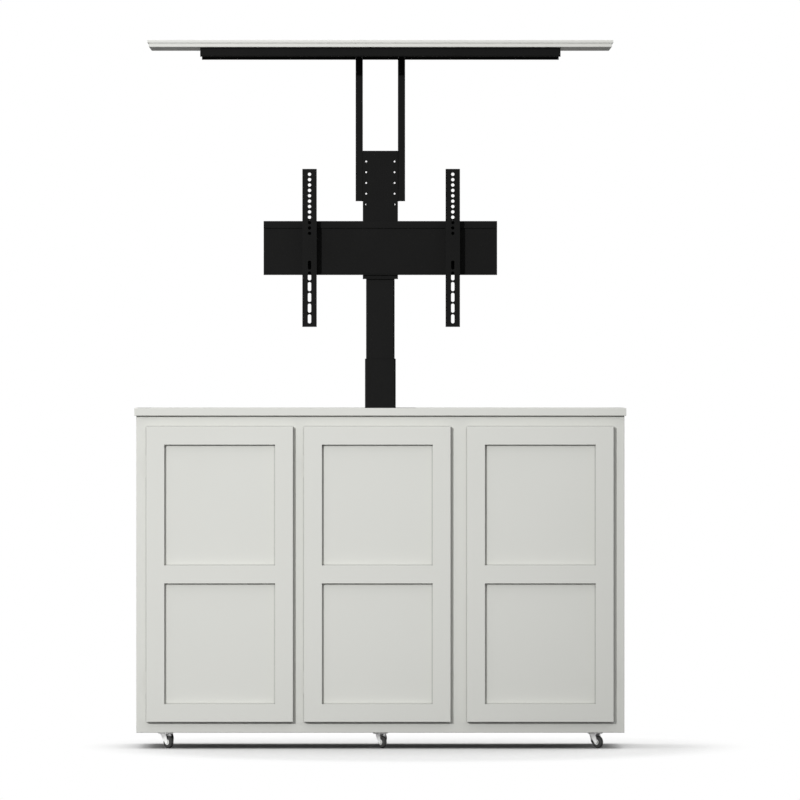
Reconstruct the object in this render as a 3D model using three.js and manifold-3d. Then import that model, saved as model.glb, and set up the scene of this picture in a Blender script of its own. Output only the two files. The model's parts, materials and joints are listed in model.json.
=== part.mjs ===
// TV lift cabinet, shown raised: a painted cabinet on swivel casters with three
// panelled doors, and a lid that rides up on a telescopic lift column, which
// also carries the bracket and the two slotted arms that a television hangs on.
// Units are millimetres. +X is the viewer's right, -Y is the front, +Z is up.
// The origin is on the floor, under the middle of the whole object.

import * as THREE from 'three';
import { mergeVertices } from 'three/addons/utils/BufferGeometryUtils.js';
import Module from 'manifold-3d';

const wasm = await Module();
wasm.setup();

// Fits shared by all pieces
const SEAT = 0.3; // gap between two pieces that rest on each other
const OVERRUN = 5; // how far a cutter runs past the face that it cuts
const EASE = 1.2; // small chamfer on the painted boards

// Cabinet body
const BODY_WIDTH = 1353;
const BODY_DEPTH = 464.5;
const BODY_HEIGHT = 878.5;
const CASTER_HEIGHT = 44; // from the floor to the body's underside
const SIDE_BOARD = 18;
const BOTTOM_BOARD = 18;
const BACK_BOARD = 12;
const FRAME_THICKNESS = 20;
const SLAB_THICKNESS = 21.5;
const SLAB_OVERHANG = { front: 15, side: 5 }; // past the body
const OPENING_MARGIN = 38; // slab left around the lid's opening

// Doors
const DOOR_COUNT = 3;
const DOOR_THICKNESS = 18;
const DOOR_STANDOFF = 2; // between a door's back and the face frame
const DOOR_MARGIN_LEFT = 28; // face frame that shows outside the left door
const DOOR_MARGIN_RIGHT = 30;
const DOOR_MARGIN_TOP = 30;
const DOOR_MARGIN_BOTTOM = 30;
const DOOR_SPACE_LEFT = 30; // face frame that shows left of the middle door
const DOOR_SPACE_RIGHT = 45; // and right of it
const DOOR_RAIL = 50; // width of stiles and rails
const DOOR_RECESSES = 2; // panelled fields, one above the other
const DOOR_RECESS = 14; // depth of the panels behind the door's front
const DOOR_PANEL_LAP = 10; // how far the panel runs behind the stiles
const DOOR_OVERLAY = 16; // how far a door covers the face frame

// Door hinges: knuckle hinges let into the door's back edge
const HINGE_LENGTH = 60;
const HINGE_END = 110; // hinge centre from the door's end
const HINGE_PIN_INSET = 4; // pin in from the door's edge, and from its back
const HINGE_BARREL = 6.8; // diameter
const HINGE_LEAF = 1.4; // sheet thickness
const HINGE_DOOR_LEAF = 24; // leaf width on the door
const HINGE_WRAP = 15; // return of the frame leaf along the opening's edge
const HINGE_KNUCKLE = 22; // length of the middle knuckle
const HINGE_PLAY = 0.9; // between the barrel and the notch in the door

// Lid
const RAISED_HEIGHT = 1964.5; // the lid's top with the lift raised
const LID_PLAY = 1.25; // between the lid's lower layer and the opening
const LID_LOWER = 11; // lower layer, which drops into the opening
const LID_UPPER = 8.5; // upper layer, which comes to rest on the slab
const LID_LIP = 4; // upper layer past the lower one
const LID_REST = 0.5; // left between lid and slab when the lift is down

// Lift column: a fixed tube and three stages that slide in each other
const COLUMN_Y = 100; // column centre behind the middle of the object
const TUBE_WIDTH = 92.2;
const TUBE_DEPTH = 66;
const TUBE_WALL = 2.5;
const TUBE_PLAY = 0.6; // running gap between two tubes, per side
const TUBE_CORNER = 5; // outer corner radius of the fixed tube
const STAGE_OVERLAP = 94.2; // each stage's least hold in the tube outside it
const TUBE_STEP = 6; // each stage's top above the one outside it when down
const STAGE_CLEARANCE = 4; // under each stage when down
const OUTER_STROKE_SHARE = 0.4483; // of the lift's travel
const MIDDLE_STROKE_SHARE = 0.4345; // the inner stage takes the rest
const BASE_PLATE = { width: 240, depth: 150, thickness: 6 };
const MOTOR = { width: 72, depth: 60, height: 130, ease: 5 };
const CONTROL_BOX = { width: 210, depth: 48, height: 80, ease: 4, x: -300, z: 330 };
const STAY = { width: 80, height: 60, foot: 25, sheet: 3, z: 400 };

// Head bracket: a perforated channel in front of the column
const BRACKET_SHEET = 2.2;
const BRACKET_PLAY = 0.8; // between the channel and the fixed tube
const BRACKET_FLANGE = 45;
const BRACKET_HEIGHT = 358.6;
const BRACKET_ABOVE_CAP = 7.3; // channel above the column's cap
const BRACKET_HOLE = { diameter: 4.8, pitch: 30, spacing: 79.2, count: 5, first: 30 };
const CAP_THICKNESS = 5;

// Television plate and its two arms
const PLATE_WIDTH = 652.5;
const PLATE_HEIGHT = 150.8;
const PLATE_SHEET = 3;
const PLATE_RAIL = 20; // height of the rail along the plate's top
const PLATE_RAIL_PROUD = 5;
const PLATE_LIP = 4; // height of the lip along the plate's bottom
const PLATE_ABOVE_BRACKET_FOOT = 11.3;
const ARM_SPACING = 400;
const ARM_SHIFT = 2.2; // both arms stand this far right of the middle
const ARM_WIDTH = 40;
const ARM_DEPTH = 30;
const ARM_SHEET = 2.5;
const ARM_LENGTH = 441.2;
const ARM_ABOVE_PLATE = 145.2;
const ARM_HOLE = { diameter: 9.2, pitch: 15, count: 12, first: 15 };
const ARM_SLOT = { length: 25, width: 9.2, pitch: 30, count: 6, end: 10 };
const ARM_HOOK = { rise: 12, drop: 10, sheet: 2.5 };

// Lid supports
const UPRIGHT_WIDTH = 20; // leg that faces the front
const UPRIGHT_DEPTH = 40; // leg that lies along the bracket
const UPRIGHT_SHEET = 3;
const UPRIGHT_LAP = 141; // overlap with the bracket
const BAR_SIZE = 25.5; // square tubes under the lid
const BAR_LENGTH = 1000;
const BAR_WALL = 2;
const BAR_CORNER = 2.5;
const BAR_INSET = 18; // bars in from the lid's lower layer

// Casters
const WHEEL_DIAMETER = 33.5;
const WHEEL_WIDTH = 13;
const WHEEL_TREAD_ROUND = 3.5;
const WHEEL_HUB = { diameter: 20, proud: 0.6, dish: 1.4 };
const WHEEL_SIDES = 28;
const AXLE_DIAMETER = 5;
const AXLE_PLAY = 0.3; // radial
const FORK_PLAY = 0.7; // between the wheel's hub and a leg
const FORK_SHEET = 1.8;
const FORK_TOP = { front: 14, back: 17, corner: 4 };
const FORK_FOOT_RADIUS = 5.5;
const CASTER_TRAIL = 12; // axle from the swivel axis
const CASTER_PLATE = { width: 42, depth: 38, thickness: 2.5, corner: 5 };
const KINGPIN = { diameter: 8, play: 0.25, head: 12, headThickness: 2 }; // play is radial
const CASTER_SIDE_INSET = 80.5; // outer swivel axes in from the body's sides
const CASTER_INSET = 58; // swivel axis in from the body's front and back
const CASTER_HEADINGS = { // degrees from straight ahead, positive to the right
  front: [42, 28, 42],
  back: [26, 30, 24],
};

// Levels and planes worked out from the sizes above
const DOOR_FRONT = -(BODY_DEPTH + DOOR_STANDOFF + DOOR_THICKNESS) / 2;
const DOOR_BACK = DOOR_FRONT + DOOR_THICKNESS;
const FRAME_FACE = DOOR_BACK + DOOR_STANDOFF;
const FRAME_BACK = FRAME_FACE + FRAME_THICKNESS;
const BODY_BACK = FRAME_FACE + BODY_DEPTH;
const BODY_BOTTOM = CASTER_HEIGHT;
const BODY_TOP = BODY_BOTTOM + BODY_HEIGHT;
const SLAB_TOP = BODY_TOP + SLAB_THICKNESS;
const SLAB_FRONT = FRAME_FACE - SLAB_OVERHANG.front;
const SLAB_WIDTH = BODY_WIDTH + 2 * SLAB_OVERHANG.side;
const SLAB_DEPTH = BODY_BACK - SLAB_FRONT;
const SLAB_Y = (SLAB_FRONT + BODY_BACK) / 2;
const INNER_HALF = BODY_WIDTH / 2 - SIDE_BOARD;
const BACK_BOARD_FACE = BODY_BACK - BACK_BOARD;
const FLOOR_TOP = BODY_BOTTOM + BOTTOM_BOARD;
const OPENING_WIDTH = SLAB_WIDTH - 2 * OPENING_MARGIN;
const OPENING_DEPTH = SLAB_DEPTH - 2 * OPENING_MARGIN;

const DOOR_WIDTH = (BODY_WIDTH - DOOR_MARGIN_LEFT - DOOR_SPACE_LEFT
  - DOOR_SPACE_RIGHT - DOOR_MARGIN_RIGHT) / DOOR_COUNT;
const DOOR_HEIGHT = BODY_HEIGHT - DOOR_MARGIN_BOTTOM - DOOR_MARGIN_TOP;
const DOOR_BOTTOM = BODY_BOTTOM + DOOR_MARGIN_BOTTOM;
const DOOR_Z = DOOR_BOTTOM + DOOR_HEIGHT / 2;
const LEFT_DOOR_X = -BODY_WIDTH / 2 + DOOR_MARGIN_LEFT + DOOR_WIDTH / 2;
const MIDDLE_DOOR_X = LEFT_DOOR_X + DOOR_WIDTH + DOOR_SPACE_LEFT;
const RIGHT_DOOR_X = MIDDLE_DOOR_X + DOOR_WIDTH + DOOR_SPACE_RIGHT;
const RECESS_WIDTH = DOOR_WIDTH - 2 * DOOR_RAIL;
const RECESS_HEIGHT = (DOOR_HEIGHT - (DOOR_RECESSES + 1) * DOOR_RAIL) / DOOR_RECESSES;

const LIP_UNDERSIDE = RAISED_HEIGHT - LID_UPPER;
const LIFT_TRAVEL = LIP_UNDERSIDE - LID_REST - SLAB_TOP;
const STROKES = [
  LIFT_TRAVEL * OUTER_STROKE_SHARE,
  LIFT_TRAVEL * MIDDLE_STROKE_SHARE,
  LIFT_TRAVEL * (1 - OUTER_STROKE_SHARE - MIDDLE_STROKE_SHARE),
];
const LID_UNDERSIDE = LIP_UNDERSIDE - LID_LOWER;
const LOWER_WIDTH = OPENING_WIDTH - 2 * LID_PLAY;
const LOWER_DEPTH = OPENING_DEPTH - 2 * LID_PLAY;
const BASE_TOP = FLOOR_TOP + SEAT + BASE_PLATE.thickness;
const TUBE_TOP = BASE_TOP + STAGE_CLEARANCE + Math.max(...STROKES) + STAGE_OVERLAP;
const TUBE_FRONT = COLUMN_Y - TUBE_DEPTH / 2;
const TUBE_BACK = COLUMN_Y + TUBE_DEPTH / 2;
const CAP_BOTTOM = stageTop(STROKES.length) + SEAT;
const BRACKET_TOP = CAP_BOTTOM + CAP_THICKNESS + BRACKET_ABOVE_CAP;
const BRACKET_BOTTOM = BRACKET_TOP - BRACKET_HEIGHT;
const BRACKET_INNER_HALF = TUBE_WIDTH / 2 + BRACKET_PLAY;
const BRACKET_HALF = BRACKET_INNER_HALF + BRACKET_SHEET;
const BRACKET_WEB_BACK = TUBE_FRONT - BRACKET_PLAY;
const BRACKET_FRONT = BRACKET_WEB_BACK - BRACKET_SHEET;
const PLATE_BACK = BRACKET_FRONT - SEAT;
const PLATE_FACE = PLATE_BACK - PLATE_SHEET;
const RAIL_FACE = PLATE_FACE - PLATE_RAIL_PROUD;
const PLATE_BOTTOM = BRACKET_BOTTOM + PLATE_ABOVE_BRACKET_FOOT;
const PLATE_TOP = PLATE_BOTTOM + PLATE_HEIGHT;
const ARM_TOP = PLATE_TOP + ARM_ABOVE_PLATE;
const ARM_BOTTOM = ARM_TOP - ARM_LENGTH;
const ARM_BACK = RAIL_FACE - SEAT;
const ARM_FRONT = ARM_BACK - ARM_DEPTH;
const BAR_TOP = LID_UNDERSIDE - SEAT;
const BAR_Z = BAR_TOP - BAR_SIZE / 2;
const BAR_OFFSET = LOWER_DEPTH / 2 - BAR_INSET - BAR_SIZE / 2;
const CASTER_X = BODY_WIDTH / 2 - CASTER_SIDE_INSET;
const CASTER_PLATE_BOTTOM = BODY_BOTTOM - SEAT - CASTER_PLATE.thickness;
const CROWN_TOP = CASTER_PLATE_BOTTOM - SEAT;
const CROWN_BOTTOM = CROWN_TOP - FORK_SHEET;

// Finishes
const paint = new THREE.MeshStandardMaterial({ color: '#dcdcd6', roughness: 0.55, metalness: 0 });
const blackSteel = new THREE.MeshStandardMaterial({ color: '#1c1c1b', roughness: 0.5, metalness: 0.3 });
const blackTube = new THREE.MeshStandardMaterial({ color: '#1b1b1a', roughness: 0.42, metalness: 0.4 });
const blackPlastic = new THREE.MeshStandardMaterial({ color: '#202020', roughness: 0.7, metalness: 0 });
const zinc = new THREE.MeshStandardMaterial({ color: '#b9bab8', roughness: 0.35, metalness: 0.85 });
const nickel = new THREE.MeshStandardMaterial({ color: '#a9a8a4', roughness: 0.3, metalness: 0.9 });
const rubber = new THREE.MeshStandardMaterial({ color: '#2b2b2b', roughness: 0.8, metalness: 0 });

const group = new THREE.Group();

// Adds one named piece to the group
function add(name, geometry, material) {
  const mesh = new THREE.Mesh(geometry, material);
  mesh.name = name;
  group.add(mesh);
  return mesh;
}

// Turns a closed geometry into a solid for joining and cutting
function solid(geometry) {
  const bare = geometry.index ? geometry.toNonIndexed() : geometry.clone();
  bare.deleteAttribute('normal');
  bare.deleteAttribute('uv');
  const merged = mergeVertices(bare);
  return new wasm.Manifold(new wasm.Mesh({
    numProp: 3,
    vertProperties: new Float32Array(merged.attributes.position.array),
    triVerts: new Uint32Array(merged.index.array),
  }));
}

// Turns a solid back into a geometry
function geometryOf(body) {
  const mesh = body.getMesh();
  const geometry = new THREE.BufferGeometry();
  geometry.setAttribute('position', new THREE.BufferAttribute(new Float32Array(mesh.vertProperties), 3));
  geometry.setIndex(new THREE.BufferAttribute(new Uint32Array(mesh.triVerts), 1));
  geometry.computeVertexNormals();
  return geometry;
}

// A box between two corners
function box(x0, x1, y0, y1, z0, z1) {
  const geometry = new THREE.BoxGeometry(x1 - x0, y1 - y0, z1 - z0);
  return geometry.translate((x0 + x1) / 2, (y0 + y1) / 2, (z0 + z1) / 2);
}

// A rectangle centred on a point, with round corners if a radius is given
function rectangle(width, height, x = 0, y = 0, radius = 0) {
  const shape = new THREE.Shape();
  const right = x + width / 2;
  const left = x - width / 2;
  const top = y + height / 2;
  const bottom = y - height / 2;
  if (radius === 0) {
    shape.moveTo(left, bottom);
    shape.lineTo(right, bottom);
    shape.lineTo(right, top);
    shape.lineTo(left, top);
    shape.closePath();
    return shape;
  }
  const quarter = Math.PI / 2;
  shape.moveTo(left + radius, bottom);
  shape.absarc(right - radius, bottom + radius, radius, -quarter, 0);
  shape.absarc(right - radius, top - radius, radius, 0, quarter);
  shape.absarc(left + radius, top - radius, radius, quarter, 2 * quarter);
  shape.absarc(left + radius, bottom + radius, radius, 2 * quarter, 3 * quarter);
  return shape;
}

// An outline made of straight lines
function outline(points) {
  return new THREE.Shape(points.map(([x, y]) => new THREE.Vector2(x, y)));
}

// An outline pulled up along +Z, with its end edges eased if a chamfer is given
function pullUp(shape, height, ease = 0, curveSegments = 5) {
  const geometry = new THREE.ExtrudeGeometry(shape, {
    depth: height - 2 * ease,
    curveSegments,
    bevelEnabled: ease > 0,
    bevelThickness: ease,
    bevelSize: ease,
    bevelOffset: -ease,
    bevelSegments: 1,
  });
  return geometry.translate(0, 0, ease);
}

// An outline drawn as seen from the front and pulled back along +Y
function pullBack(shape, depth, ease = 0, curveSegments = 5) {
  return pullUp(shape, depth, ease, curveSegments).rotateX(Math.PI / 2).translate(0, depth, 0);
}

// An outline drawn as seen from the left, Y across and Z up, pulled along +X
function pullRight(shape, width, ease = 0, curveSegments = 5) {
  const geometry = pullUp(shape, width, ease, curveSegments);
  const turn = new THREE.Matrix4().set(
    0, 0, 1, 0,
    1, 0, 0, 0,
    0, 1, 0, 0,
    0, 0, 0, 1,
  );
  return geometry.applyMatrix4(turn);
}

// A round bar along Y or X, used for holes, pins and axles
function roundBar(diameter, length, axis, sides = 20) {
  const bar = new THREE.CylinderGeometry(diameter / 2, diameter / 2, length, sides);
  if (axis === 'x') return bar.rotateZ(Math.PI / 2);
  if (axis === 'z') return bar.rotateX(Math.PI / 2);
  return bar;
}

// Height of a stage's top at rest, with the lift raised
function stageTop(stage) {
  const raised = STROKES.slice(0, stage).reduce((sum, stroke) => sum + stroke, 0);
  return TUBE_TOP + stage * TUBE_STEP + raised;
}

// Cabinet body

function sideBoard(name, side) {
  const outer = side * BODY_WIDTH / 2;
  const inner = side * INNER_HALF;
  const x0 = Math.min(outer, inner);
  const x1 = Math.max(outer, inner);
  add(name, box(x0, x1, FRAME_BACK + SEAT, BODY_BACK, BODY_BOTTOM, BODY_TOP - SEAT), paint);
}

// An upright board with eased edges and rectangular openings right through it
function openBoard(outer, openings, depth) {
  let board = solid(pullBack(outer, depth, EASE));
  for (const opening of openings) {
    const cutter = pullBack(opening, depth + 2 * OVERRUN).translate(0, -OVERRUN, 0);
    board = board.subtract(solid(cutter));
  }
  return board;
}

function faceFrame() {
  const height = BODY_HEIGHT - SEAT;
  const width = DOOR_WIDTH - 2 * DOOR_OVERLAY;
  const openings = [LEFT_DOOR_X, MIDDLE_DOOR_X, RIGHT_DOOR_X].map(
    (x) => rectangle(width, DOOR_HEIGHT - 2 * DOOR_OVERLAY, x, DOOR_Z),
  );
  const outer = rectangle(BODY_WIDTH, height, 0, BODY_BOTTOM + height / 2);
  const geometry = geometryOf(openBoard(outer, openings, FRAME_THICKNESS));
  add('face_frame', geometry.translate(0, FRAME_FACE, 0), paint);
}

function carcass() {
  sideBoard('side_left', -1);
  sideBoard('side_right', 1);
  faceFrame();
  const half = INNER_HALF - SEAT;
  add('bottom_board', box(-half, half, FRAME_BACK + SEAT, BACK_BOARD_FACE - SEAT, BODY_BOTTOM, FLOOR_TOP), paint);
  add('back_board', box(-half, half, BACK_BOARD_FACE, BODY_BACK, BODY_BOTTOM, BODY_TOP - SEAT), paint);
  const slab = rectangle(SLAB_WIDTH, SLAB_DEPTH, 0, SLAB_Y);
  slab.holes.push(rectangle(OPENING_WIDTH, OPENING_DEPTH, 0, SLAB_Y));
  add('top_slab', pullUp(slab, SLAB_THICKNESS, EASE).translate(0, 0, BODY_TOP), paint);
}

// Doors, each a frame with one panel let into its back, on two hinges

function hingeHeights() {
  return { lower: DOOR_BOTTOM + HINGE_END, upper: DOOR_BOTTOM + DOOR_HEIGHT - HINGE_END };
}

// Mirrors a closed geometry left to right
function mirrorX(geometry) {
  return geometryOf(solid(geometry).mirror([1, 0, 0]));
}

// A door frame hinged at its left edge, drawn with that edge at x = 0
function doorFrame() {
  const x = DOOR_WIDTH / 2;
  const recessOffset = (DOOR_RAIL + RECESS_HEIGHT) / 2;
  const recesses = [DOOR_Z - recessOffset, DOOR_Z + recessOffset].map(
    (z) => rectangle(RECESS_WIDTH, RECESS_HEIGHT, x, z),
  );
  const outer = rectangle(DOOR_WIDTH, DOOR_HEIGHT, x, DOOR_Z);
  let frame = openBoard(outer, recesses, DOOR_THICKNESS).translate([0, DOOR_FRONT, 0]);
  const pocketX = DOOR_RAIL - DOOR_PANEL_LAP;
  const pocketZ = DOOR_BOTTOM + pocketX;
  frame = frame.subtract(solid(box(
    pocketX, DOOR_WIDTH - pocketX,
    DOOR_FRONT + DOOR_RECESS, DOOR_BACK + OVERRUN,
    pocketZ, DOOR_BOTTOM + DOOR_HEIGHT - pocketX,
  )));
  const notch = HINGE_PIN_INSET + HINGE_BARREL / 2 + HINGE_PLAY;
  const halfHinge = HINGE_LENGTH / 2 + SEAT;
  for (const z of Object.values(hingeHeights())) {
    frame = frame.subtract(solid(box(
      -OVERRUN, notch, DOOR_BACK - notch, DOOR_BACK + OVERRUN, z - halfHinge, z + halfHinge,
    )));
    frame = frame.subtract(solid(box(
      notch - SEAT, HINGE_PIN_INSET + HINGE_DOOR_LEAF + SEAT,
      DOOR_BACK - HINGE_LEAF - SEAT, DOOR_BACK + OVERRUN,
      z - halfHinge, z + halfHinge,
    )));
  }
  return geometryOf(frame);
}

function doorPanel() {
  const edge = DOOR_RAIL - DOOR_PANEL_LAP + SEAT;
  return box(
    edge, DOOR_WIDTH - edge,
    DOOR_FRONT + DOOR_RECESS + SEAT, DOOR_BACK,
    DOOR_BOTTOM + edge, DOOR_BOTTOM + DOOR_HEIGHT - edge,
  );
}

// The leaf on the door, with a knuckle at each end of the hinge
function doorLeaf(z) {
  const pinY = DOOR_BACK - HINGE_PIN_INSET;
  const endKnuckle = (HINGE_LENGTH - HINGE_KNUCKLE) / 2 - SEAT;
  let leaf = solid(box(
    HINGE_PIN_INSET + HINGE_BARREL / 2, HINGE_PIN_INSET + HINGE_DOOR_LEAF,
    DOOR_BACK - HINGE_LEAF, DOOR_BACK,
    z - HINGE_LENGTH / 2, z + HINGE_LENGTH / 2,
  ));
  for (const end of [-1, 1]) {
    const middle = z + end * (HINGE_LENGTH - endKnuckle) / 2;
    const knuckle = roundBar(HINGE_BARREL, endKnuckle, 'z', 14);
    leaf = leaf.add(solid(knuckle.translate(HINGE_PIN_INSET, pinY, middle)));
    leaf = leaf.add(solid(box(
      HINGE_PIN_INSET, HINGE_PIN_INSET + HINGE_BARREL,
      DOOR_BACK - HINGE_LEAF, DOOR_BACK,
      middle - endKnuckle / 2, middle + endKnuckle / 2,
    )));
  }
  return geometryOf(leaf);
}

// The leaf on the face frame: middle knuckle, face leaf and return
function frameLeaf(z) {
  const pinY = DOOR_BACK - HINGE_PIN_INSET;
  const leafBack = FRAME_FACE - SEAT;
  const leafFront = leafBack - HINGE_LEAF;
  const half = HINGE_KNUCKLE / 2;
  const returnX = DOOR_OVERLAY + SEAT;
  const web = HINGE_LEAF;
  const knuckle = roundBar(HINGE_BARREL, HINGE_KNUCKLE, 'z', 14);
  let leaf = solid(knuckle.translate(HINGE_PIN_INSET, pinY, z));
  leaf = leaf.add(solid(box(
    HINGE_PIN_INSET - web, HINGE_PIN_INSET + web, pinY, leafBack, z - half, z + half,
  )));
  leaf = leaf.add(solid(box(
    HINGE_PIN_INSET - web, returnX + HINGE_LEAF, leafFront, leafBack, z - half, z + half,
  )));
  leaf = leaf.add(solid(box(
    returnX, returnX + HINGE_LEAF, leafFront, FRAME_FACE + HINGE_WRAP, z - half, z + half,
  )));
  return geometryOf(leaf);
}

// side 1 hinges the door at its left edge, side -1 at its right edge
function door(name, centre, side) {
  const place = (geometry) => {
    const turned = side > 0 ? geometry : mirrorX(geometry);
    return turned.translate(centre - side * DOOR_WIDTH / 2, 0, 0);
  };
  add(`door_${name}_frame`, place(doorFrame()), paint);
  add(`door_${name}_panel`, place(doorPanel()), paint);
  for (const [level, z] of Object.entries(hingeHeights())) {
    add(`hinge_${name}_${level}_door_leaf`, place(doorLeaf(z)), nickel);
    add(`hinge_${name}_${level}_frame_leaf`, place(frameLeaf(z)), nickel);
  }
}

// Lift column

// One tube of the column: 0 is the fixed one, 1 to 3 are the sliding stages
function columnTube(index, bottom, top) {
  const shrink = index * (TUBE_WALL + TUBE_PLAY);
  const width = TUBE_WIDTH - 2 * shrink;
  const depth = TUBE_DEPTH - 2 * shrink;
  const corner = Math.max(TUBE_CORNER - index * TUBE_PLAY, TUBE_WALL);
  const inner = Math.max(corner - TUBE_WALL, TUBE_PLAY);
  const shape = rectangle(width, depth, 0, COLUMN_Y, corner);
  shape.holes.push(rectangle(width - 2 * TUBE_WALL, depth - 2 * TUBE_WALL, 0, COLUMN_Y, inner));
  return pullUp(shape, top - bottom).translate(0, 0, bottom);
}

function liftColumn() {
  const halfWidth = BASE_PLATE.width / 2;
  const halfDepth = BASE_PLATE.depth / 2;
  add('lift_base_plate', box(
    -halfWidth, halfWidth, COLUMN_Y - halfDepth, COLUMN_Y + halfDepth, FLOOR_TOP + SEAT, BASE_TOP,
  ), blackSteel);
  add('lift_tube_fixed', columnTube(0, BASE_TOP + SEAT, TUBE_TOP), blackTube);
  let raised = 0;
  STROKES.forEach((stroke, i) => {
    raised += stroke;
    const bottom = BASE_TOP + (i + 1) * STAGE_CLEARANCE + raised;
    add(`lift_stage_${i + 1}`, columnTube(i + 1, bottom, stageTop(i + 1)), blackTube);
  });
}

function liftMotor() {
  const x = TUBE_WIDTH / 2 + SEAT + MOTOR.width / 2;
  const shape = rectangle(MOTOR.width, MOTOR.depth, x, COLUMN_Y);
  add('lift_motor', pullUp(shape, MOTOR.height, MOTOR.ease).translate(0, 0, BASE_TOP + SEAT), blackPlastic);
  const front = rectangle(CONTROL_BOX.width, CONTROL_BOX.height, CONTROL_BOX.x, CONTROL_BOX.z);
  const boxFront = BACK_BOARD_FACE - SEAT - CONTROL_BOX.depth;
  const geometry = pullBack(front, CONTROL_BOX.depth, CONTROL_BOX.ease);
  add('lift_control_box', geometry.translate(0, boxFront, 0), blackPlastic);
}

// A folded stay between the fixed tube and the cabinet's back
function liftStay() {
  const front = TUBE_BACK + SEAT;
  const back = BACK_BOARD_FACE - SEAT;
  const half = STAY.width / 2;
  const shape = outline([
    [-half, front],
    [half, front],
    [half, back - STAY.sheet],
    [half + STAY.foot, back - STAY.sheet],
    [half + STAY.foot, back],
    [half - STAY.sheet, back],
    [half - STAY.sheet, front + STAY.sheet],
    [STAY.sheet - half, front + STAY.sheet],
    [STAY.sheet - half, back],
    [-half - STAY.foot, back],
    [-half - STAY.foot, back - STAY.sheet],
    [-half, back - STAY.sheet],
  ]);
  add('lift_stay', pullUp(shape, STAY.height).translate(0, 0, STAY.z), blackSteel);
}

// Head bracket, with its cap over the innermost stage

function headBracket() {
  const flangeBack = BRACKET_WEB_BACK + BRACKET_FLANGE;
  const channel = outline([
    [-BRACKET_HALF, BRACKET_FRONT],
    [BRACKET_HALF, BRACKET_FRONT],
    [BRACKET_HALF, flangeBack],
    [BRACKET_INNER_HALF, flangeBack],
    [BRACKET_INNER_HALF, BRACKET_WEB_BACK],
    [-BRACKET_INNER_HALF, BRACKET_WEB_BACK],
    [-BRACKET_INNER_HALF, flangeBack],
    [-BRACKET_HALF, flangeBack],
  ]);
  let bracket = solid(pullUp(channel, BRACKET_HEIGHT).translate(0, 0, BRACKET_BOTTOM));
  const middle = (BRACKET_FRONT + BRACKET_WEB_BACK) / 2;
  for (let i = 0; i < BRACKET_HOLE.count; i += 1) {
    const z = BRACKET_TOP - BRACKET_HOLE.first - i * BRACKET_HOLE.pitch;
    for (const side of [-1, 1]) {
      const hole = roundBar(BRACKET_HOLE.diameter, BRACKET_SHEET + OVERRUN, 'y', 16);
      bracket = bracket.subtract(solid(hole.translate(side * BRACKET_HOLE.spacing / 2, middle, z)));
    }
  }
  add('head_bracket', geometryOf(bracket), blackSteel);

  const capHalf = BRACKET_INNER_HALF - SEAT;
  add('head_cap', box(
    -capHalf, capHalf, BRACKET_WEB_BACK + SEAT, TUBE_BACK, CAP_BOTTOM, CAP_BOTTOM + CAP_THICKNESS,
  ), blackSteel);
}

// Television plate: a sheet with a rail along its top and a lip along its foot
function tvPlate() {
  const section = outline([
    [PLATE_BACK, PLATE_BOTTOM],
    [PLATE_BACK, PLATE_TOP],
    [RAIL_FACE, PLATE_TOP],
    [RAIL_FACE, PLATE_TOP - PLATE_RAIL],
    [PLATE_FACE, PLATE_TOP - PLATE_RAIL],
    [PLATE_FACE, PLATE_BOTTOM + PLATE_LIP],
    [RAIL_FACE, PLATE_BOTTOM + PLATE_LIP],
    [RAIL_FACE, PLATE_BOTTOM],
  ]);
  add('tv_plate', pullRight(section, PLATE_WIDTH).translate(-PLATE_WIDTH / 2, 0, 0), blackSteel);
}

// Cutters for the round holes and slots of an arm centred on x = 0
function armCutters() {
  const length = ARM_SHEET + OVERRUN;
  const y = ARM_FRONT + ARM_SHEET / 2;
  const cutters = [];
  for (let i = 0; i < ARM_HOLE.count; i += 1) {
    const z = ARM_TOP - ARM_HOLE.first - i * ARM_HOLE.pitch;
    cutters.push(roundBar(ARM_HOLE.diameter, length, 'y', 20).translate(0, y, z));
  }
  const first = ARM_BOTTOM + ARM_SLOT.end + ARM_SLOT.length / 2;
  for (let i = 0; i < ARM_SLOT.count; i += 1) {
    const z = first + i * ARM_SLOT.pitch;
    const shape = rectangle(ARM_SLOT.width, ARM_SLOT.length, 0, z, ARM_SLOT.width / 2 - SEAT);
    cutters.push(pullBack(shape, length).translate(0, y - length / 2, 0));
  }
  return cutters;
}

// An arm: a channel open to the back, with a hook over the plate's top
function tvArm() {
  const hookBack = PLATE_BACK + SEAT + ARM_HOOK.sheet;
  const flange = outline([
    [ARM_FRONT, ARM_BOTTOM],
    [ARM_FRONT, ARM_TOP],
    [ARM_BACK, ARM_TOP],
    [ARM_BACK, PLATE_TOP + ARM_HOOK.rise],
    [hookBack, PLATE_TOP + ARM_HOOK.rise],
    [hookBack, PLATE_TOP - ARM_HOOK.drop],
    [PLATE_BACK + SEAT, PLATE_TOP - ARM_HOOK.drop],
    [PLATE_BACK + SEAT, PLATE_TOP + SEAT],
    [ARM_BACK, PLATE_TOP + SEAT],
    [ARM_BACK, ARM_BOTTOM],
  ]);
  const half = ARM_WIDTH / 2;
  let arm = solid(box(-half, half, ARM_FRONT, ARM_FRONT + ARM_SHEET, ARM_BOTTOM, ARM_TOP));
  for (const x of [-half, half - ARM_SHEET]) {
    arm = arm.add(solid(pullRight(flange, ARM_SHEET).translate(x, 0, 0)));
  }
  for (const cutter of armCutters()) {
    arm = arm.subtract(solid(cutter));
  }
  return geometryOf(arm);
}

// Lid supports: an angle up each side of the bracket, with a cross arm on top

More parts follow.
